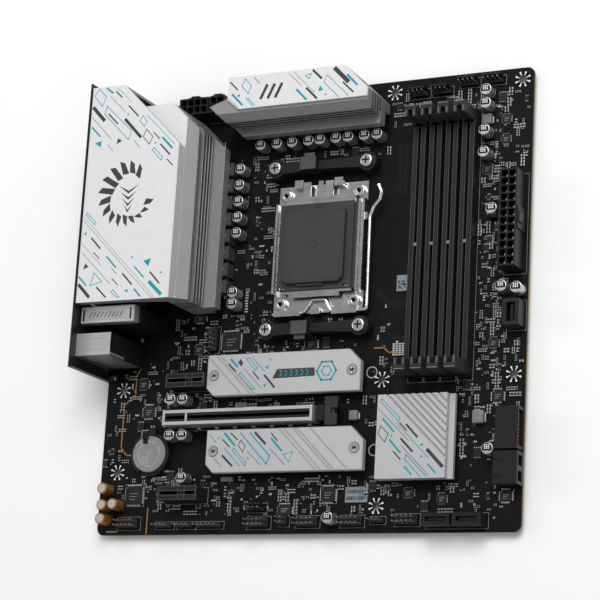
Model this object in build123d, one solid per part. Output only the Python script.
"""A micro-ATX motherboard, as an assembly of its separate pieces.

Millimetres. The board lies flat with its component side up. X runs from the
rear connector edge to the front edge, Y from the expansion slot edge to the
processor power edge, and Z starts at the board's top copper face. The finished
pieces are moved so that the origin is at the bottom centre of the whole part.
"""
import os
from build123d import *

# ---------------------------------------------------------------- board
board_length = 243.84
board_width = 243.84
board_thick = 1.6
board_corner = 4.0
hole_radius = 1.98
hole_rear = 10.16                      # rear column of holes to the rear edge
hole_middle = hole_rear + 154.94
hole_front = hole_rear + 227.33
hole_top = board_width - 6.35          # top row of holes
hole_centre_row = hole_top - 157.48
hole_rear_low = hole_top - 203.2
hole_middle_low = hole_top - 223.52
board_fit = 0.05                       # pins and legs in the board's holes

# ---------------------------------------------------------------- socket
socket_x = 127.0
socket_y = 152.9
cpu_size = 40.0
cpu_fit = 0.2
housing_length = 43.6
housing_width = 47.0
housing_height = 4.6
pin_field_top = 2.6
frame_screw_x = 43.0
frame_screw_y = 60.4
cooler_x = 54.0
cooler_y = 90.0
backplate_thick = 2.3
insulator_gap = 0.2
boss_radius = 2.4
wire_radius = 1.0
wire_fit = 0.06                        # running fit of wire in its knuckles
lever_axis_y = socket_y - 35.7
lever_axis_z = 3.6
lever_arm_x = socket_x + 29.1
crank_reach = 6.8
plate_axis_y = socket_y + 35.5
plate_axis_z = 3.6
plate_bottom = 5.0
plate_sheet = 1.0
cap_wall = 1.0
cap_height = 10.2
lid_gap = 0.3                          # between pieces that lift apart

# ---------------------------------------------------------------- memory
dimm_count = 4
dimm_first_x = 183.8
dimm_pitch = 9.15
dimm_y0 = 79.5
dimm_y1 = 221.5
dimm_width = 7.0
dimm_height = 8.0
dimm_slot = 1.5
dimm_key_y = 149.4
latch_height = 22.3
latch_width = 5.2
latch_pin = 0.9
latch_fit = 0.06
latch_side = 0.2
latch_pivot_in = 3.2                   # pivot to the slot's end
latch_pivot_z = 3.0

# ---------------------------------------------------------------- expansion
slot_height = 11.25
slot_width = 7.2
slot_gap = 1.7
slot_start_x = 42.5
x16_y = 61.5
x16_length = 89.0
x1_length = 23.6
x1_rows = (20.8, 81.9)
slot_key_x = 56.8
armour_sheet = 0.4
armour_window = 4.6

# ---------------------------------------------------------------- power
power_pitch = 4.2
power_edge = 0.6
power_height = 12.8
power_hole = 3.5
power_floor = 2.5
power_24_x = 236.0
power_24_y0 = 133.5
power_cpu_x0 = 39.7
power_cpu_y = 237.4
power_gap = 0.5

# ---------------------------------------------------------------- cooling
cover_top = 40.0
cover_wall = 1.5
cover_x1 = 56.3
cover_y0 = 120.6
cover_y1 = 243.6
cover_chamfer = 36.4
sink_rear_x = 30.0
sink_x1 = 64.6
sink_ledge_x = 71.5
sink_slope_z = 32.8
sink_ledge_z = 14.5
sink_base_z = 8.4
sink_y1 = 230.5
groove_depth = 3.0
top_sink_z = 33.0
top_sink_y0 = 218.6
top_sink_y1 = 243.4
top_sink_x0 = 81.0
top_sink_x1 = 163.5
plate_thick = 1.6
choke_height = 8.0
choke_size = 7.4
mosfet_height = 1.0
pad_thick = 1.0

# ---------------------------------------------------------------- storage
m2_top = 9.0
m2_bottom = 5.2
m2_screw_radius = 1.3
m2_head_radius = 2.9

# ---------------------------------------------------------------- rear ports
shield_x = -1.6
shield_sheet = 0.8
shield_y0 = 85.2
shield_y1 = 246.2
shield_z0 = -3.9
shield_z1 = 40.55
port_face_x = -2.4
port_fit = 0.4

# ---------------------------------------------------------------- helpers
nodes = {}


def keep(name, *pieces):
    """File the pieces of one node under its name."""
    solids = []
    for piece in pieces:
        solids.extend(piece.solids())
    nodes.setdefault(name, []).extend(solids)


def slab(x0, x1, y0, y1, z0, z1):
    """A plain block between two corners."""
    size = Box(x1 - x0, y1 - y0, z1 - z0)
    return Pos((x0 + x1) / 2, (y0 + y1) / 2, (z0 + z1) / 2) * size


def post(x, y, radius, z0, z1):
    """An upright cylinder."""
    return Pos(x, y, (z0 + z1) / 2) * Cylinder(radius, z1 - z0)


def rod_x(x0, x1, y, z, radius):
    """A cylinder along X."""
    return Pos((x0 + x1) / 2, y, z) * Rot(0, 90, 0) * Cylinder(radius, x1 - x0)


def rod_y(y0, y1, x, z, radius):
    """A cylinder along Y."""
    return Pos(x, (y0 + y1) / 2, z) * Rot(90, 0, 0) * Cylinder(radius, y1 - y0)


def prism(points, z0, z1):
    """A flat outline raised between two heights."""
    face = make_face(Polyline(*points, close=True).edges())
    return Pos(0, 0, z0) * extrude(face, z1 - z0)


def profile_y(points, y0, y1):
    """An X-Z outline drawn along Y."""
    corners = [(x, y0, z) for x, z in points]
    face = make_face(Polyline(*corners, close=True).edges())
    return extrude(face, y1 - y0, dir=(0, 1, 0))


def rounded(x0, x1, y0, y1, z0, z1, radius):
    """A block with its upright corners rounded."""
    block = slab(x0, x1, y0, y1, z0, z1)
    return fillet(block.edges().filter_by(Axis.Z), radius)


def cut_all(body, tools):
    """One piece with a list of tools taken away."""
    return body - tools if tools else body


# ---------------------------------------------------------------- board
mount_holes = [
    (x, y)
    for x in (hole_rear, hole_middle, hole_front)
    for y in (hole_top, hole_centre_row)
]
mount_holes += [(hole_rear, hole_rear_low), (hole_middle, hole_middle_low)]
cooler_posts = [
    (socket_x + sx * cooler_x / 2, socket_y + sy * cooler_y / 2)
    for sx in (-1, 1)
    for sy in (-1, 1)
]
frame_posts = [
    (socket_x + sx * frame_screw_x / 2, socket_y + sy * frame_screw_y / 2)
    for sx in (-1, 1)
    for sy in (-1, 1)
]
all_posts = cooler_posts + frame_posts

board = rounded(0, board_length, 0, board_width, -board_thick, 0, board_corner)
board_holes = [post(x, y, hole_radius, -3, 1) for x, y in mount_holes]
board_holes += [post(x, y, boss_radius + board_fit, -3, 1) for x, y in all_posts]
keep("pcb", cut_all(board, board_holes))

# ---------------------------------------------------------------- backplate
screw_shank = 1.6
shank_fit = 0.05
frame_sheet_z0 = 1.2
frame_sheet_z1 = 2.4
sheet_top = -board_thick
plate_top_z = sheet_top - insulator_gap
plate_low_z = plate_top_z - backplate_thick
back_x = cooler_x / 2 + 5.5
back_y = cooler_y / 2 + 5.5


def backplate_outline(z0, z1):
    """The rounded plate with its open middle."""
    outer = rounded(socket_x - back_x, socket_x + back_x,
                    socket_y - back_y, socket_y + back_y, z0, z1, 5)
    middle = rounded(socket_x - 12, socket_x + 12,
                     socket_y - 12, socket_y + 12, z0 - 1, z1 + 1, 3)
    return outer - middle


backplate = backplate_outline(plate_low_z, plate_top_z)
for x, y in cooler_posts:
    backplate += post(x, y, boss_radius, plate_top_z - 0.5, 0)
for x, y in frame_posts:
    backplate += post(x, y, boss_radius, plate_top_z - 0.5, frame_sheet_z0)
shank_bores = [post(x, y, screw_shank + shank_fit, plate_low_z - 1, 3) for x, y in all_posts]
keep("socket_backplate", cut_all(backplate, shank_bores))
insulator = backplate_outline(plate_top_z, sheet_top)
boss_holes = [post(x, y, boss_radius + board_fit, -6, 1) for x, y in all_posts]
keep("backplate_insulator", cut_all(insulator, boss_holes))

# ---------------------------------------------------------------- socket
seat = cpu_size + 2 * cpu_fit
housing = slab(socket_x - housing_length / 2, socket_x + housing_length / 2,
               socket_y - housing_width / 2, socket_y + housing_width / 2, 0, housing_height)
housing -= slab(socket_x - seat / 2, socket_x + seat / 2,
                socket_y - seat / 2, socket_y + seat / 2, pin_field_top, housing_height + 1)
housing -= slab(socket_x - 6, socket_x + 6, socket_y - 5, socket_y + 5, 0.8, housing_height)
keep("socket_housing", housing)

frame_x = socket_x - 26.2
frame_far_x = socket_x + 26.2
rail_y0 = socket_y - 25
rail_y1 = socket_y + 25
window_fit = 0.3
rail_top = 6.5
frame = slab(frame_x, frame_far_x, lever_axis_y, plate_axis_y, frame_sheet_z0, frame_sheet_z1)
frame -= slab(socket_x - housing_length / 2 - window_fit, socket_x + housing_length / 2 + window_fit,
              socket_y - housing_width / 2 - window_fit, socket_y + housing_width / 2 + window_fit, 0, 4)
frame += slab(frame_x, frame_x + 1.2, rail_y0, rail_y1, frame_sheet_z0, rail_top)
frame += slab(frame_far_x - 1.2, frame_far_x, rail_y0, rail_y1, frame_sheet_z0, rail_top)
frame += slab(frame_far_x - 4.0, frame_far_x - 2.8, rail_y0, rail_y1, frame_sheet_z0, rail_top - 1)
hook_gap = 0.2
frame += slab(frame_far_x - 0.5, lever_arm_x - wire_radius - hook_gap, rail_y1 - 12, rail_y1 - 8,
              frame_sheet_z0, rail_top - 0.5)
knuckle_half = 1.7
lever_knuckles = ((socket_x - 24.5, socket_x - 8.7), (socket_x + 9.5, socket_x + 24))
for x0, x1 in lever_knuckles:
    frame += slab(x0, x1, lever_axis_y - knuckle_half, lever_axis_y + knuckle_half,
                  frame_sheet_z0, lever_axis_z + 2)
frame += slab(socket_x - 2.8, socket_x + 2.2, lever_axis_y - 1.2, lever_axis_y + 2.2,
              frame_sheet_z0, lever_axis_z + 1.6)
plate_knuckles = ((socket_x - 16, socket_x - 11), (socket_x + 7.5, socket_x + 12.5))
for x0, x1 in plate_knuckles:
    frame += slab(x0, x1, plate_axis_y - 2.2, plate_axis_y + 2.4, frame_sheet_z0, plate_axis_z + 2.2)
frame += slab(socket_x - 3.5, socket_x - 0.5, plate_axis_y - 4.5, plate_axis_y + 2.4,
              frame_sheet_z0, frame_sheet_z1)
frame -= rod_x(frame_x - 1, frame_far_x + 1, lever_axis_y, lever_axis_z, wire_radius + wire_fit)
frame -= rod_x(frame_x - 1, frame_far_x + 1, plate_axis_y, plate_axis_z, wire_radius + wire_fit)
frame_bores = [post(x, y, screw_shank + shank_fit, 0, 4) for x, y in frame_posts]
keep("socket_frame", cut_all(frame, frame_bores))

frame_head_radius = 3.5
for x, y in frame_posts:
    screw = post(x, y, frame_head_radius, frame_sheet_z1, frame_sheet_z1 + 2.2)
    screw = fillet(screw.edges().group_by(Axis.Z)[-1], 0.8)
    screw += post(x, y, screw_shank, plate_low_z + 0.3, frame_sheet_z1 + 0.5)
    drive = Pos(x, y, frame_sheet_z1 + 1.6) * extrude(RegularPolygon(1.7, 6), 2)
    keep("frame_screws", screw - drive)

# ---------------------------------------------------------------- load plate
plate_top = plate_bottom + plate_sheet
plate_half = 20.5
plate_y0 = lever_axis_y + crank_reach + wire_radius + 0.3
load_plate = slab(socket_x - plate_half, socket_x + plate_half, plate_y0 + 2.2, plate_axis_y - 7.4,
                  plate_bottom, plate_top)
load_plate += slab(socket_x - 16, socket_x + 13.5, plate_y0, plate_y0 + 3, plate_bottom, plate_top)
plate_window_x = 17.5
plate_window_y = 19.5
load_plate -= slab(socket_x - plate_window_x, socket_x + plate_window_x,
                   socket_y - plate_window_y, socket_y + plate_window_y, 4, 8)
pin_outer = (socket_x - 16.5, socket_x + 13)
finger_inner = ((socket_x - 10.6, socket_x - 6.2), (socket_x + 2.5, socket_x + 7.1))
for (f0, f1), end in zip(finger_inner, pin_outer):
    load_plate += slab(f0, f1, plate_axis_y - 8, plate_axis_y + 0.9, plate_bottom, plate_top)
    load_plate += slab(f0, f1, plate_axis_y - 0.9, plate_axis_y + 0.9, plate_axis_z + 0.5, plate_top)
    load_plate += rod_x(min(f0, end), max(f1, end), plate_axis_y, plate_axis_z, wire_radius)
keep("load_plate", load_plate)

# ---------------------------------------------------------------- load lever
arm_top_y = lever_axis_y + 51
handle = [
    (lever_arm_x, lever_axis_y, lever_axis_z),
    (lever_arm_x, arm_top_y, lever_axis_z + 1.2),
    (lever_arm_x + 2.2, arm_top_y + 4.4, lever_axis_z + 2),
    (lever_arm_x + 6.2, arm_top_y + 8.2, lever_axis_z + 3),
    (lever_arm_x + 7.2, arm_top_y + 11.6, lever_axis_z + 3.6),
    (lever_arm_x + 5.4, arm_top_y + 16, lever_axis_z + 4),
]
crank = [
    (socket_x - 26, lever_axis_y, lever_axis_z),
    (socket_x - 8, lever_axis_y, lever_axis_z),
    (socket_x - 3.1, lever_axis_y + crank_reach, lever_axis_z),
    (socket_x + 4.9, lever_axis_y + crank_reach, lever_axis_z),
    (socket_x + 8.8, lever_axis_y, lever_axis_z),
]
wire_path = FilletPolyline(*crank, *handle, radius=1.9)
wire_start = Plane(origin=crank[0], z_dir=(1, 0, 0))
keep("load_lever", sweep(wire_start * Circle(wire_radius), path=wire_path))

# ---------------------------------------------------------------- socket cap
cap_base = plate_top + lid_gap
flange_top = cap_base + cap_wall
cap = slab(socket_x - 22.8, socket_x + 20.6, socket_y - 23.8, socket_y + 23.8, cap_base, flange_top)
dome = rounded(socket_x - 19, socket_x + 16.7, socket_y - 20.8, socket_y + 20.3,
               cap_base, cap_height, 4)
dome = fillet(dome.edges().group_by(Axis.Z)[-1], 0.6)
cap += dome
cap -= rounded(socket_x - 19 + cap_wall, socket_x + 16.7 - cap_wall,
               socket_y - 20.8 + cap_wall, socket_y + 20.3 - cap_wall,
               cap_base - 1, cap_height - cap_wall, 3)
cap += slab(socket_x - 10.5, socket_x + 5, socket_y - 22, socket_y - 20.5, flange_top, cap_height - 1.4)
for x0 in (socket_x - 21.8, socket_x + 15.9):
    cap -= slab(x0, x0 + 3.6, socket_y - 23.2, socket_y - 21.9, cap_base - 1, flange_top + 1)
keep("socket_cap", cap)

# ---------------------------------------------------------------- cooler brackets
hub_radius = 5.2
hub_top = 7.6
head_radius = 3.6
strap_z0 = 2.4
strap_z1 = 8.0
lug_x = socket_x - 6


def cooler_bracket(centre_y, outward):
    """A bowed strap between two hubs, with a hooked lug facing outward."""
    x0 = socket_x - cooler_x / 2
    x1 = socket_x + cooler_x / 2
    low = ThreePointArc((x0, centre_y - 3.6), (socket_x, centre_y - 2.4), (x1, centre_y - 3.6))
    high = ThreePointArc((x1, centre_y + 3.6), (socket_x, centre_y + 2.4), (x0, centre_y + 3.6))
    ends = [Line(low @ 1, high @ 0), Line(high @ 1, low @ 0)]
    strap_face = make_face([low, ends[0], high, ends[1]])
    strap = Pos(0, 0, strap_z0) * extrude(strap_face, strap_z1 - strap_z0)
    inner = centre_y - outward * 3.2
    outer = centre_y + outward * 4.0
    tip = centre_y + outward * 6.5
    strap += slab(lug_x - 4.6, lug_x + 4.6, min(inner, outer), max(inner, outer), strap_z0, 12)
    strap += slab(lug_x - 3.1, lug_x + 3.1, min(outer, tip), max(outer, tip), strap_z0 + 2, 10.5)
    for x in (x0, x1):
        strap += post(x, centre_y, hub_radius, 0, hub_top)
        strap -= post(x, centre_y, head_radius + 0.1, hub_top, 14)
        strap -= post(x, centre_y, screw_shank + shank_fit, -1, 14)
    return strap


keep("cooler_bracket_upper", cooler_bracket(socket_y + cooler_y / 2, 1))
keep("cooler_bracket_lower", cooler_bracket(socket_y - cooler_y / 2, -1))
for x, y in cooler_posts:
    screw = post(x, y, head_radius, hub_top, hub_top + 2.2)
    screw = fillet(screw.edges().group_by(Axis.Z)[-1], 0.9)
    screw += post(x, y, screw_shank, plate_low_z + 0.3, hub_top + 0.5)
    cross = slab(x - 2.1, x + 2.1, y - 0.45, y + 0.45, hub_top + 1, hub_top + 3)
    cross += slab(x - 0.45, x + 0.45, y - 2.1, y + 2.1, hub_top + 1, hub_top + 3)
    keep("cooler_screws", screw - cross)

# ---------------------------------------------------------------- memory slots
for index in range(dimm_count):
    x = dimm_first_x + index * dimm_pitch
    slot = slab(x - dimm_width / 2, x + dimm_width / 2, dimm_y0, dimm_y1, 0, dimm_height)
    groove = slab(x - dimm_slot / 2, x + dimm_slot / 2, dimm_y0, dimm_y1, 1.6, dimm_height + 1)
    groove -= slab(x - dimm_slot / 2, x + dimm_slot / 2, dimm_key_y - 0.9, dimm_key_y + 0.9, 0, 9)
    slot -= groove
    for end, side in ((dimm_y0, 1), (dimm_y1, -1)):
        pivot_y = end + side * latch_pivot_in
        inner = end + side * 7.2
        pocket = latch_width / 2 + latch_side
        slot -= slab(x - pocket, x + pocket, min(end, inner) - 0.1 * (side > 0),
                     max(end, inner) + 0.1 * (side < 0), 0.4, dimm_height + 1)
        slot -= rod_x(x - dimm_width, x + dimm_width, pivot_y, latch_pivot_z, latch_pin + latch_fit)
    keep(f"dimm_slot_{index + 1}", slot)
    for name, end, side in (("low", dimm_y0, 1), ("top", dimm_y1, -1)):
        pivot_y = end + side * latch_pivot_in
        half = latch_width / 2
        a, b = pivot_y - side * 2.4, pivot_y + side * 2.2
        latch = slab(x - half, x + half, min(a, b), max(a, b), latch_pivot_z, latch_height - 8)
        latch += rod_x(x - half, x + half, pivot_y, latch_pivot_z, 2.3)
        latch += rod_x(x - dimm_width / 2, x + dimm_width / 2, pivot_y, latch_pivot_z, latch_pin)
        a, b = end + side * 0.2, end + side * 6.6
        head = slab(x - half - 0.5, x + half + 0.5, min(a, b), max(a, b), dimm_height + 1, latch_height)
        a, b = end + side * 2.8, end + side * 8
        head -= slab(x - 1.3, x + 1.3, min(a, b), max(a, b), dimm_height, latch_height + 1)
        latch += head
        latch += slab(x - half, x + half, min(end + side, end + side * 2.8),
                      max(end + side, end + side * 2.8), dimm_height + 1, latch_height - 4)
        keep(f"dimm_latch_{name}_{index + 1}", latch)

# ---------------------------------------------------------------- expansion slots
half_slot = slot_width / 2


def slot_housing(x0, length, y):
    """A card slot housing with its keyed groove, closed at both ends."""
    body = slab(x0, x0 + length, y - half_slot, y + half_slot, 0, slot_height)
    groove = slab(x0 + 1.5, x0 + length - 1.5, y - slot_gap / 2, y + slot_gap / 2, 2, slot_height + 1)
    groove -= slab(slot_key_x - 0.8, slot_key_x + 0.8, y - 1, y + 1, 0, slot_height + 2)
    return body - groove


armour_x1 = slot_start_x + x16_length
x16 = slot_housing(slot_start_x + armour_sheet, x16_length - 2 * armour_sheet, x16_y)
keep("pcie_x1_slots", *[slot_housing(slot_start_x, x1_length, y) for y in x1_rows])

armour = slab(slot_start_x, armour_x1, x16_y - half_slot - armour_sheet, x16_y + half_slot + armour_sheet,
              0.8, slot_height + armour_sheet)
armour -= slab(slot_start_x + armour_sheet, armour_x1 - armour_sheet, x16_y - half_slot,
               x16_y + half_slot, 0, slot_height)
armour -= slab(slot_start_x + 1.4, armour_x1 - 1.4, x16_y - armour_window / 2,
               x16_y + armour_window / 2, slot_height - 1, slot_height + 2)
keep("pcie_x16_armour", armour)

catch_y = x16_y + 1.2
catch_half = 2.6
catch_pin = 0.9
catch_x = armour_x1 + 7.7
catch_z = 2.6
pad_in = 1.6
pad_out = 7.4
tail = slab(armour_x1, catch_x - 2.6, x16_y - half_slot, x16_y + half_slot + 1, 0, 8)
for side in (-1, 1):
    near = catch_y + side * (catch_half + 0.2)
    far = catch_y + side * (catch_half + 1.2)
    tail += slab(catch_x - 2.7, catch_x + 1.6, min(near, far), max(near, far), 0, 4.6)
tail -= rod_y(catch_y - 5, catch_y + 5, catch_x, catch_z, catch_pin + latch_fit)
keep("pcie_x16_slot", x16, tail)
catch = rod_y(catch_y - catch_half, catch_y + catch_half, catch_x, catch_z, 2.2)
catch += rod_y(catch_y - catch_half - 1.2, catch_y + catch_half + 1.2, catch_x, catch_z, catch_pin)
catch += slab(catch_x - 1.6, catch_x + 1.8, catch_y - catch_half, catch_y + catch_half, catch_z, 9.4)
catch += slab(catch_x + 0.4, catch_x + 3.4, catch_y - pad_out, catch_y + pad_out, 6.2, 8.2)
for side in (-1, 1):
    a, b = catch_y + side * pad_in, catch_y + side * pad_out
    catch += slab(catch_x - 1.4, catch_x + 5.4, min(a, b), max(a, b), 8.2, 9.4)
keep("pcie_x16_catch", catch)

# ---------------------------------------------------------------- power sockets


def power_socket(x0, y0, columns, rows):
    """A power socket with one deep square cell for each pin."""
    width = columns * power_pitch + 2 * power_edge
    depth = rows * power_pitch + 2 * power_edge
    body = slab(x0, x0 + width, y0, y0 + depth, 0, power_height)
    cells = []
    for column in range(columns):
        for row in range(rows):
            x = x0 + power_edge + (column + 0.5) * power_pitch
            y = y0 + power_edge + (row + 0.5) * power_pitch
            half = power_hole / 2
            cells.append(slab(x - half, x + half, y - half, y + half, power_floor, power_height + 1))
            keep("power_pins", slab(x - 0.55, x + 0.55, y - 0.55, y + 0.55, power_floor, 8.5))
    return body - cells


half_24 = power_pitch + power_edge
socket_24 = power_socket(power_24_x - half_24, power_24_y0, 2, 12)
middle_24 = power_24_y0 + power_edge + 6 * power_pitch
socket_24 += slab(power_24_x + half_24, power_24_x + half_24 + 1.6, middle_24 - 2.6, middle_24 + 2.6,
                  6.5, power_height - 0.8)
socket_24 += slab(power_24_x + half_24, power_24_x + half_24 + 0.8, middle_24 - 6, middle_24 + 6,
                  0, power_height - 0.8)
keep("power_socket_24", socket_24)
for name, columns, x0 in (
    ("power_socket_8", 4, power_cpu_x0),
    ("power_socket_4", 2, power_cpu_x0 + 4 * power_pitch + 2 * power_edge + power_gap),
):
    y0 = power_cpu_y - half_24
    y1 = power_cpu_y + half_24
    middle = x0 + power_edge + columns * power_pitch / 2
    body = power_socket(x0, y0, columns, 2)
    body += slab(middle - 2.4, middle + 2.4, y1, y1 + 1.4, 6.5, power_height - 0.8)
    body += slab(middle - 4, middle + 4, y1, y1 + 0.7, 0, power_height - 0.8)
    keep(name, body)

# ---------------------------------------------------------------- VRM cooling
groove_tops = (31.0, 25.8, 22.6, 19.4, 16.2)
groove_heights = (3.6, 1.6, 1.6, 1.6, 1.6)
shelf_z = 37.4
slope_run = (cover_top - shelf_z) * (sink_x1 - cover_x1) / (cover_top - sink_slope_z)
shelf_x1 = cover_x1 + slope_run
pad_z0 = mosfet_height
pad_z1 = mosfet_height + pad_thick

cover = profile_y([(-0.3, shelf_z), (-0.3, cover_top), (cover_x1, cover_top), (shelf_x1, shelf_z)],
                  cover_y0, cover_y1)
cut_x = cover_x1 - cover_chamfer
reach = 5
cover = cover & prism([(-1, cover_y0), (cover_x1 + reach, cover_y0),
                       (cover_x1 + reach, cover_y1 - cover_chamfer - reach),
                       (cut_x, cover_y1), (-1, cover_y1)], 0, 50)
cover += slab(-0.3, cut_x, cover_y1 - cover_wall, cover_y1, 1, shelf_z)
cover += slab(-0.3, sink_rear_x - 0.2, cover_y0, cover_y0 + cover_wall, 34.6, shelf_z)
keep("io_cover", cover)

sink = profile_y([
    (sink_rear_x, shelf_z), (shelf_x1, shelf_z), (sink_x1, sink_slope_z), (sink_x1, sink_ledge_z),
    (sink_ledge_x, sink_ledge_z), (sink_ledge_x, sink_base_z), (65.8, sink_base_z),
    (65.8, pad_z1), (52, pad_z1), (52, 31), (sink_rear_x, 34.6)], cover_y0, sink_y1)
chamfer_x = 50.5
side_y1 = sink_y1 - (sink_x1 - chamfer_x)
ledge_y1 = side_y1 - (sink_ledge_x - sink_x1) + 1
sink = sink & prism([(29, cover_y0), (sink_ledge_x, cover_y0), (sink_ledge_x, ledge_y1),
                     (sink_x1, side_y1), (chamfer_x, sink_y1), (29, sink_y1)], 0, 50)
for top, height in zip(groove_tops, groove_heights):
    sink -= slab(sink_x1 - groove_depth, sink_x1 + 1, cover_y0 - 1, sink_y1 + 1, top - height, top)
keep("vrm_heatsink_left", sink)

top_slope_y = 220.0
top_plate_y = 225.0
top_slope_z = 27.0
top_deck_z = top_sink_z - plate_thick
deck_y = top_plate_y - plate_thick * (top_plate_y - top_slope_y) / (top_sink_z - top_slope_z)
section = [
    (top_sink_y1, top_deck_z), (deck_y, top_deck_z), (top_slope_y, top_slope_z),
    (top_slope_y, sink_ledge_z), (top_sink_y0 - 2.7, sink_ledge_z), (top_sink_y0 - 2.7, sink_base_z),
    (224.6, sink_base_z), (224.6, pad_z1), (238, pad_z1), (238, 6), (top_sink_y1, 6)]
toe_x = 68
section_face = make_face(Polyline(*[(toe_x, y, z) for y, z in section], close=True).edges())
top_sink = extrude(section_face, top_sink_x1 + 1 - toe_x, dir=(1, 0, 0))
end_y = 229.8
top_toe = (69.4, 228.4)
top_sink = top_sink & prism([(top_sink_x0, top_sink_y1), (top_sink_x0, 232.4), top_toe,
                             (top_toe[0] + top_toe[1] - 215, 215), (top_sink_x1, 215),
                             (top_sink_x1, end_y), (top_sink_x1 - top_sink_y1 + end_y, top_sink_y1)],
                            0, 50)
for top, height in zip(groove_tops[1:], groove_heights[1:]):
    top_sink -= slab(toe_x, 170, top_slope_y - 1, top_slope_y + groove_depth, top - height, top)
keep("vrm_heatsink_top", top_sink)
keep("vrm_top_plate", prism([
    (top_sink_x0, top_sink_y1), (top_sink_x0, 231), (top_sink_x0 + 6.6, top_plate_y),
    (top_sink_x1, top_plate_y), (top_sink_x1, end_y),
    (top_sink_x1 - top_sink_y1 + end_y, top_sink_y1)], top_deck_z, top_sink_z))

choke_step = 9.5
choke_x = 70.2
choke_row_y = 220.3
for index in range(8):
    y = 133.7 + index * choke_step
    half = choke_size / 2
    choke = slab(choke_x - half, choke_x + half, y - half, y + half, 0.2, choke_height)
    keep("chokes", chamfer(choke.edges().group_by(Axis.Z)[-1], 0.5))
    keep("mosfets", slab(55, 60.5, y - 3, y + 3, 0, mosfet_height))
for index in range(7):
    x = 95 + index * choke_step
    half = choke_size / 2
    choke = slab(x - half, x + half, choke_row_y - half, choke_row_y + half, 0.2, choke_height)
    keep("chokes", chamfer(choke.edges().group_by(Axis.Z)[-1], 0.5))
    keep("mosfets", slab(x - 3, x + 3, 227, 232.5, 0, mosfet_height))
keep("thermal_pads", slab(54, 64, 129, 205, pad_z0, pad_z1), slab(91, 156, 226, 236, pad_z0, pad_z1))

# ---------------------------------------------------------------- M.2 bays
bays = {
    "upper": ([(66.5, 77.3), (70.9, 72.9), (156.6, 72.9), (156.6, 88.5), (149.8, 95.3), (66.5, 95.3)],
              ((70.7, 84.1), (151.7, 84.1)), (77.1, 82.4, 84.6)),
    "lower": ([(68.9, 36.1), (73.3, 31.4), (160.1, 31.4), (160.1, 46.9), (152.6, 54.4), (68.9, 54.4)],
              ((73.1, 43.0), (155.1, 43.0)), (122.5, 125.3, 130.5, 132.8, 140.4)),
}
m2_groove = 0.7
m2_groove_width = 0.9
for bay, (outline, screws, groove_spots) in bays.items():
    lid = prism(outline, m2_bottom, m2_top)
    lid = chamfer(lid.edges().group_by(Axis.Z)[-1], 0.4)
    middle_y = screws[0][1]
    for x in groove_spots:
        lid -= Pos(x, middle_y, m2_top) * Rot(0, 0, -45) * Box(60, m2_groove_width, 2 * m2_groove)
    for x, y in screws:
        lid -= post(x, y, m2_head_radius + 0.2, m2_top - 1.4, m2_top + 1)
        lid -= post(x, y, m2_screw_radius + 0.15, 0, m2_top + 1)
        screw = post(x, y, m2_head_radius, m2_top - 1.4, m2_top + 0.4)
        screw += post(x, y, m2_screw_radius, 2, m2_top - 1)
        drive = slab(x - 1.7, x + 1.7, y - 0.35, y + 0.35, m2_top - 0.5, m2_top + 1)
        drive += slab(x - 0.35, x + 0.35, y - 1.7, y + 1.7, m2_top - 0.5, m2_top + 1)
        keep(f"m2_screws_{bay}", screw - drive)
        stand = post(x, y, 2.5, 0, m2_bottom) - post(x, y, m2_screw_radius + shank_fit, -1, 8)
        keep("m2_standoffs", stand)
    keep(f"m2_heatsink_{bay}", lid)
    x0 = screws[0][0] + 3.4
    card = slab(x0, x0 + 8.6, middle_y - 10.8, middle_y + 10.8, 0, 4.0)
    card -= slab(x0 + 3, x0 + 9, middle_y - 10, middle_y + 10, 1.6, 2.9)
    keep("m2_sockets", card)

# ---------------------------------------------------------------- chipset
chip = (176.0, 196.0, 38.0, 58.0)
keep("chipset_chip", slab(chip[0] - 3, chip[1] + 3, chip[2] - 3, chip[3] + 3, 0, 0.9),
     slab(chip[0] + 4, chip[1] - 4, chip[2] + 4, chip[3] - 4, 0.9, 1.6))
chip_sink_x0 = 167.7
chip_sink_x1 = 206.0
chip_sink_y0 = 26.2
chip_sink_y1 = 69.8
chip_sink_top = 10.0
chip_sink_floor = 4.0
chip_ledge = 3.0
chip_ledge_top = 6.4
chip_groove_count = 8
chip_groove_first = 5.4                # first groove's place along the far edge
chip_groove_step = 4.0
chip_groove_width = 1.0
chip_groove_depth = 1.3
chip_sink = slab(chip_sink_x0, chip_sink_x1, chip_sink_y0, chip_sink_y1, chip_sink_floor, chip_sink_top)
chip_sink += slab(chip[0] + 2, chip[1] - 2, chip[2] + 2, chip[3] - 2, 1.6, chip_sink_floor + 0.2)
chip_sink += slab(chip_sink_x0, chip_sink_x1 + chip_ledge, chip_sink_y0, chip_sink_y1, chip_sink_floor,
                  chip_ledge_top)
for step in range(chip_groove_count):
    groove_x = chip_sink_x0 + chip_groove_first + step * chip_groove_step
    run = chip_sink_x1 - groove_x
    spot = Pos(groove_x + run / 2, chip_sink_y1 - run / 2, chip_sink_top) * Rot(0, 0, 45)
    chip_sink -= spot * Box(chip_groove_width, run * 2 ** 0.5 + 3, 2 * chip_groove_depth)
for x, y in ((chip_sink_x0 + 2.9, chip_sink_y0 + 3.2), (chip_sink_x1 - 3, chip_sink_y1 - 3.2)):
    chip_sink += post(x, y, 2.4, 1.6, chip_sink_floor + 0.2)
    chip_sink -= post(x, y, 1.3, 0, chip_sink_top - 2.2)
    keep("chipset_pins", post(x, y, 1.25, 0, chip_sink_top - 2.6) + post(x, y, 2.3, 0, 1.6))
keep("chipset_heatsink", chip_sink)

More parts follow.
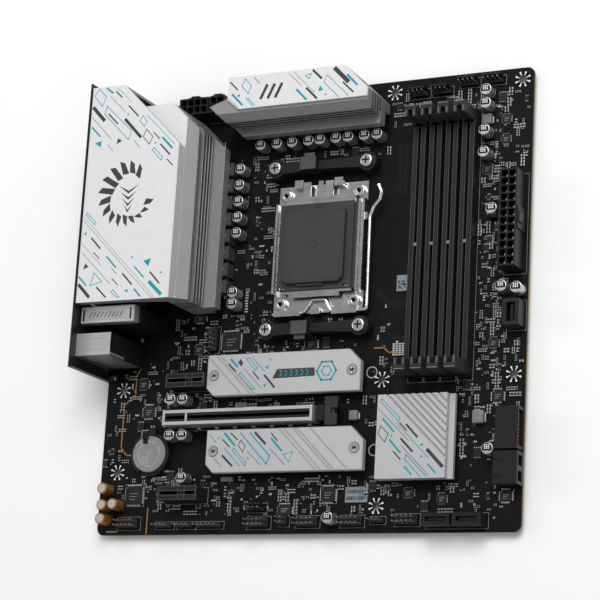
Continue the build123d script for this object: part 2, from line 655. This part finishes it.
# ---------------------------------------------------------------- rear ports
port_depth = 20.0
usb_y0 = (145.5, 163.0, 180.5)
usb_width = 14.4
usb_height = 16.0
lan_y0 = 124.0
lan_width = 17.0
lan_height = 30.5
rj45_width = 12.0
video_y0 = 200.0
video_width = 16.5
video_height = 20.5
audio_y0 = 92.2
audio_y1 = 104.6
audio_x1 = 20.6
audio_height = 35.0
jack_radius = 1.8
jack_heights = (7.0, 18.0, 29.0)
wifi_x1 = 33.5
wifi_y0 = 110.2
wifi_y1 = 119.4
wifi_height = 34.2
antenna_radius = 3.1
antenna_heights = (11.0, 24.0)
antenna_y = (wifi_y0 + wifi_y1) / 2
usb_levels = (1.4, 9.2)
wall = 0.6


def usb_stack(y0):
    """Two USB sockets, one over the other, each with its tongue."""
    body = slab(port_face_x, port_depth - 4, y0, y0 + usb_width, 0, usb_height)
    for z in usb_levels:
        body -= slab(port_face_x - 1, 12, y0 + wall, y0 + usb_width - wall, z, z + 5.4)
        body += slab(port_face_x + 1, 12.5, y0 + 1.4, y0 + usb_width - 1.4, z + 3.0, z + 4.6)
    return body


for y0 in usb_y0:
    keep("rear_ports", usb_stack(y0))
lan = slab(port_face_x, port_depth, lan_y0, lan_y0 + lan_width, 0, lan_height)
for z in usb_levels:
    lan -= slab(port_face_x - 1, 12, lan_y0 + 1.6, lan_y0 + lan_width - 1.6, z, z + 5.4)
    lan += slab(port_face_x + 1, 12.5, lan_y0 + 2.6, lan_y0 + lan_width - 2.6, z + 3.0, z + 4.6)
rj45_y0 = lan_y0 + (lan_width - rj45_width) / 2
lan -= slab(port_face_x - 1, 13, rj45_y0, rj45_y0 + rj45_width, 18.5, 26.5)
lan -= slab(port_face_x - 1, 9, rj45_y0 + 3, rj45_y0 + rj45_width - 3, 16.2, 18.6)
keep("rear_ports", lan)
video = slab(port_face_x, port_depth - 2, video_y0, video_y0 + video_width, 0, video_height)
for z in (2.2, 12.4):
    video -= slab(port_face_x - 1, 9, video_y0 + 0.9, video_y0 + video_width - 0.9, z, z + 5.2)
    video += slab(port_face_x + 1, 9.5, video_y0 + 2.6, video_y0 + video_width - 2.6, z + 1.9, z + 3.3)
keep("rear_ports", video)

audio = slab(port_face_x, audio_x1, audio_y0, audio_y1, 0, audio_height)
audio_middle = (audio_y0 + audio_y1) / 2
for z in jack_heights:
    audio += rod_x(port_face_x - 1, port_face_x, audio_middle, z, 4.2)
    audio -= rod_x(port_face_x - 2, 14, audio_middle, z, jack_radius)
keep("audio_jacks", audio)

can = slab(0.5, wifi_x1, wifi_y0, wifi_y1, wifi_height - 5, wifi_height)
can = fillet(can.edges().group_by(Axis.Z)[-1], 0.7)
can -= slab(2, wifi_x1 - 3.4, wifi_y0 + 1.4, wifi_y1 - 1.4, wifi_height - 0.5, wifi_height + 1)
keep("wifi_module", can, slab(0.5, wifi_x1 + 0.8, wifi_y0 + 0.3, wifi_y1 - 0.3, 0, wifi_height - 5))
for z in antenna_heights:
    jack = rod_x(-8.6, 0.5, antenna_y, z, antenna_radius) - rod_x(-9, -4, antenna_y, z, 1.9)
    jack += rod_x(-8, -3, antenna_y, z, 0.5)
    keep("wifi_module", jack)

shield = slab(shield_x, shield_x + shield_sheet, shield_y0, shield_y1, shield_z0, shield_z1)
shield += slab(shield_x, 6.4, shield_y0, shield_y0 + 3.4, 0, 0.8)
shield += slab(shield_x, 1.4, shield_y0, shield_y0 + 0.8, 0.8, shield_z1)
openings = [(y, y + usb_width, 0, usb_height) for y in usb_y0]
openings += [(lan_y0, lan_y0 + lan_width, 0, lan_height)]
openings += [(video_y0, video_y0 + video_width, 0, video_height)]
openings += [(audio_y0, audio_y1, 0, audio_height)]
for y0, y1, z0, z1 in openings:
    shield -= slab(shield_x - 1, shield_x + shield_sheet + 0.3, y0 - port_fit, y1 + port_fit,
                   z0 - port_fit, z1 + port_fit)
for z in antenna_heights:
    shield -= rod_x(shield_x - 1, 1, antenna_y, z, antenna_radius + 0.2)
vent_z = 24.5
for step in range(26):
    y = 145 + step * 3.6
    shield -= slab(shield_x - 1, 0, y, y + 2.2, vent_z, vent_z + 12)
keep("io_shield", shield)

# ---------------------------------------------------------------- coin cell
cell_x = 31.6
cell_y = 43.4
cell_radius = 10.0
cell_fit = 0.15
cell_bottom = 1.6
cell_thick = 3.2
holder = post(cell_x, cell_y, cell_radius + 1.8, 0, 3.8)
holder += slab(cell_x - 5.5, cell_x + 3.5, cell_y + 8, cell_y + 13.6, 0, 5.4)
holder -= post(cell_x, cell_y, cell_radius + cell_fit, cell_bottom, 8)
holder -= slab(cell_x - 6, cell_x + 6, cell_y - 13, cell_y - 8, cell_bottom + 0.6, 8)
keep("coin_cell_holder", holder)
cell = post(cell_x, cell_y, cell_radius - 1.2, cell_bottom, cell_bottom + 0.5)
cell += post(cell_x, cell_y, cell_radius, cell_bottom + 0.5, cell_bottom + cell_thick)
keep("coin_cell", chamfer(cell.edges().group_by(Axis.Z)[-1], 0.3))

# ---------------------------------------------------------------- data sockets
sata_height = 8.8
for x0 in (193.6, 210.2):
    body = slab(x0, x0 + 15.4, 2.6, 8.9, 0, sata_height)
    body -= slab(x0 + 2.2, x0 + 13.2, 4.6, 6.9, 2.4, sata_height + 1)
    body += slab(x0 + 3, x0 + 12.4, 5.1, 6.2, 2, sata_height - 1.6)
    keep("sata_sockets", body)
angled = slab(231, board_length, 22.8, 39.4, 0, sata_height)
for y0 in (24.4, 32.4):
    angled -= slab(234, board_length + 1, y0, y0 + 5.2, 1.6, sata_height - 1.6)
    angled += slab(233, board_length - 1.4, y0 + 1.6, y0 + 2.8, 2.6, sata_height - 2.6)
keep("sata_sockets", angled)

usb3 = slab(231.4, board_length - 0.4, 40.6, 62.2, 0, 8.2)
usb3 -= slab(236.4, board_length, 42.2, 60.6, 1.2, 7.0)
keep("usb_headers", usb3)
usb_c = slab(233.6, 242.2, 103.4, 117.2, 0, 9.0)
usb_c -= slab(235.6, 240.2, 105.4, 115.2, 1.6, 10)
usb_c += slab(237.4, 238.4, 106, 114.6, 1, 7.2)
keep("usb_headers", usb_c)

# ---------------------------------------------------------------- pin headers
pin_pitch = 2.54
pin_half = 0.32
header_z = 2.5
pin_top = 8.5


def pin_header(x0, y0, columns, rows, shroud=0):
    """A header of square pins on a base, some with a back wall."""
    x1 = x0 + columns * pin_pitch
    y1 = y0 + rows * pin_pitch
    body = slab(x0, x1, y0, y1, 0, header_z)
    if shroud:
        body += slab(x0, x1, y1, y1 + 1.1, 0, shroud)
    for column in range(columns):
        for row in range(rows):
            x = x0 + (column + 0.5) * pin_pitch
            y = y0 + (row + 0.5) * pin_pitch
            body += slab(x - pin_half, x + pin_half, y - pin_half, y + pin_half, header_z - 0.5, pin_top)
    return body


headers = (
    (13.4, 3.6, 5, 2), (37, 3.6, 4, 1), (50, 3.6, 4, 1), (62, 3.6, 6, 1), (92, 3.4, 5, 2),
    (110.6, 4.4, 2, 2), (120.6, 3.6, 5, 2), (145.8, 3.6, 5, 2), (162.8, 5.2, 3, 1), (176.4, 4.0, 5, 2),
)
for x0, y0, columns, rows in headers:
    keep("pin_headers", pin_header(x0, y0, columns, rows))
keep("pin_headers", pin_header(62.4, 99.4, 2, 5))
for x0, y0 in ((174.8, 233.4), (187.8, 233.4), (203.2, 236.6), (217.2, 236.6), (92, 12)):
    keep("pin_headers", pin_header(x0, y0, 4, 1, 7.5))

# ---------------------------------------------------------------- capacitors
cap_radius = 3.1
polymer_height = 8.6
polymer_spots = [(78.1, y) for y in (123.8, 130.1, 163.4, 172.3, 181.3, 190.6, 199.8)]
polymer_spots += [(x, 212.4) for x in (89.7, 99.6, 108.9, 118.7, 125.6, 135, 142.2, 151.7, 159.1)]
polymer_spots += [
    (220.2, 231), (220.2, 223.6), (220, 209), (220, 196.9), (225.4, 165.9), (232, 124.4),
    (240.1, 123.2), (227.6, 40.8), (44.6, 72.4), (52, 72.2), (45.3, 52.8), (53, 52.6), (54.4, 29.5),
    (141.5, 7.2)]
audio_cap_radius = 3.0
audio_height_cap = 9.4
audio_spots = ((6.6, 24.4), (6.8, 15.4), (13.6, 15.8), (6.6, 7.9))


def can_capacitor(x, y, radius, height):
    """A can with a rolled groove near its foot, on a square base."""
    can_body = post(x, y, radius, 0.6, height)
    can_body = fillet(can_body.edges().group_by(Axis.Z)[-1], 0.4)
    can_body -= post(x, y, radius + 1, 1.9, 2.5) - post(x, y, radius - 0.3, 1, 3)
    return can_body + slab(x - radius, x + radius, y - radius, y + radius, 0, 0.9)


for x, y in polymer_spots:
    keep("polymer_capacitors", can_capacitor(x, y, cap_radius, polymer_height))
for x, y in audio_spots:
    keep("audio_capacitors", can_capacitor(x, y, audio_cap_radius, audio_height_cap))

# ---------------------------------------------------------------- integrated circuits
packages = (
    (17, 27, 16.6, 26.6, 1.2), (134, 142, 16.4, 24.4, 1.0), (109.5, 117.5, 10, 15.4, 1.3),
    (70, 81, 99.8, 110, 0.9), (53, 59, 98.6, 103.6, 0.9), (52.6, 59, 116.2, 120.6, 0.9),
    (227, 232, 214, 219, 0.9), (227, 232, 203, 208, 0.9), (217.2, 222.2, 187.2, 193, 0.9),
    (223.6, 229, 94, 99.6, 0.9), (226.4, 232.6, 66, 72.2, 0.9), (232.4, 238.6, 15.2, 21, 0.9),
    (180, 186, 18, 23, 1.0), (120, 127, 98, 104, 1.0), (198.6, 204, 14.6, 20, 1.0),
    (24, 31, 64, 71, 1.0), (20, 26, 80, 86, 1.0),
)
for x0, x1, y0, y1, height in packages:
    keep("ic_packages", slab(x0, x1, y0, y1, 0, height))

# ---------------------------------------------------------------- export
os.makedirs("parts", exist_ok=True)
whole = Compound(children=[Compound(solids) for solids in nodes.values()]).bounding_box()
shift = Pos(-(whole.min.X + whole.max.X) / 2, -(whole.min.Y + whole.max.Y) / 2, -whole.min.Z)
for name, solids in nodes.items():
    export_step(Compound([shift * solid for solid in solids]), f"parts/{name}.step")
print("board corner at", shift.position.X, shift.position.Y, shift.position.Z)
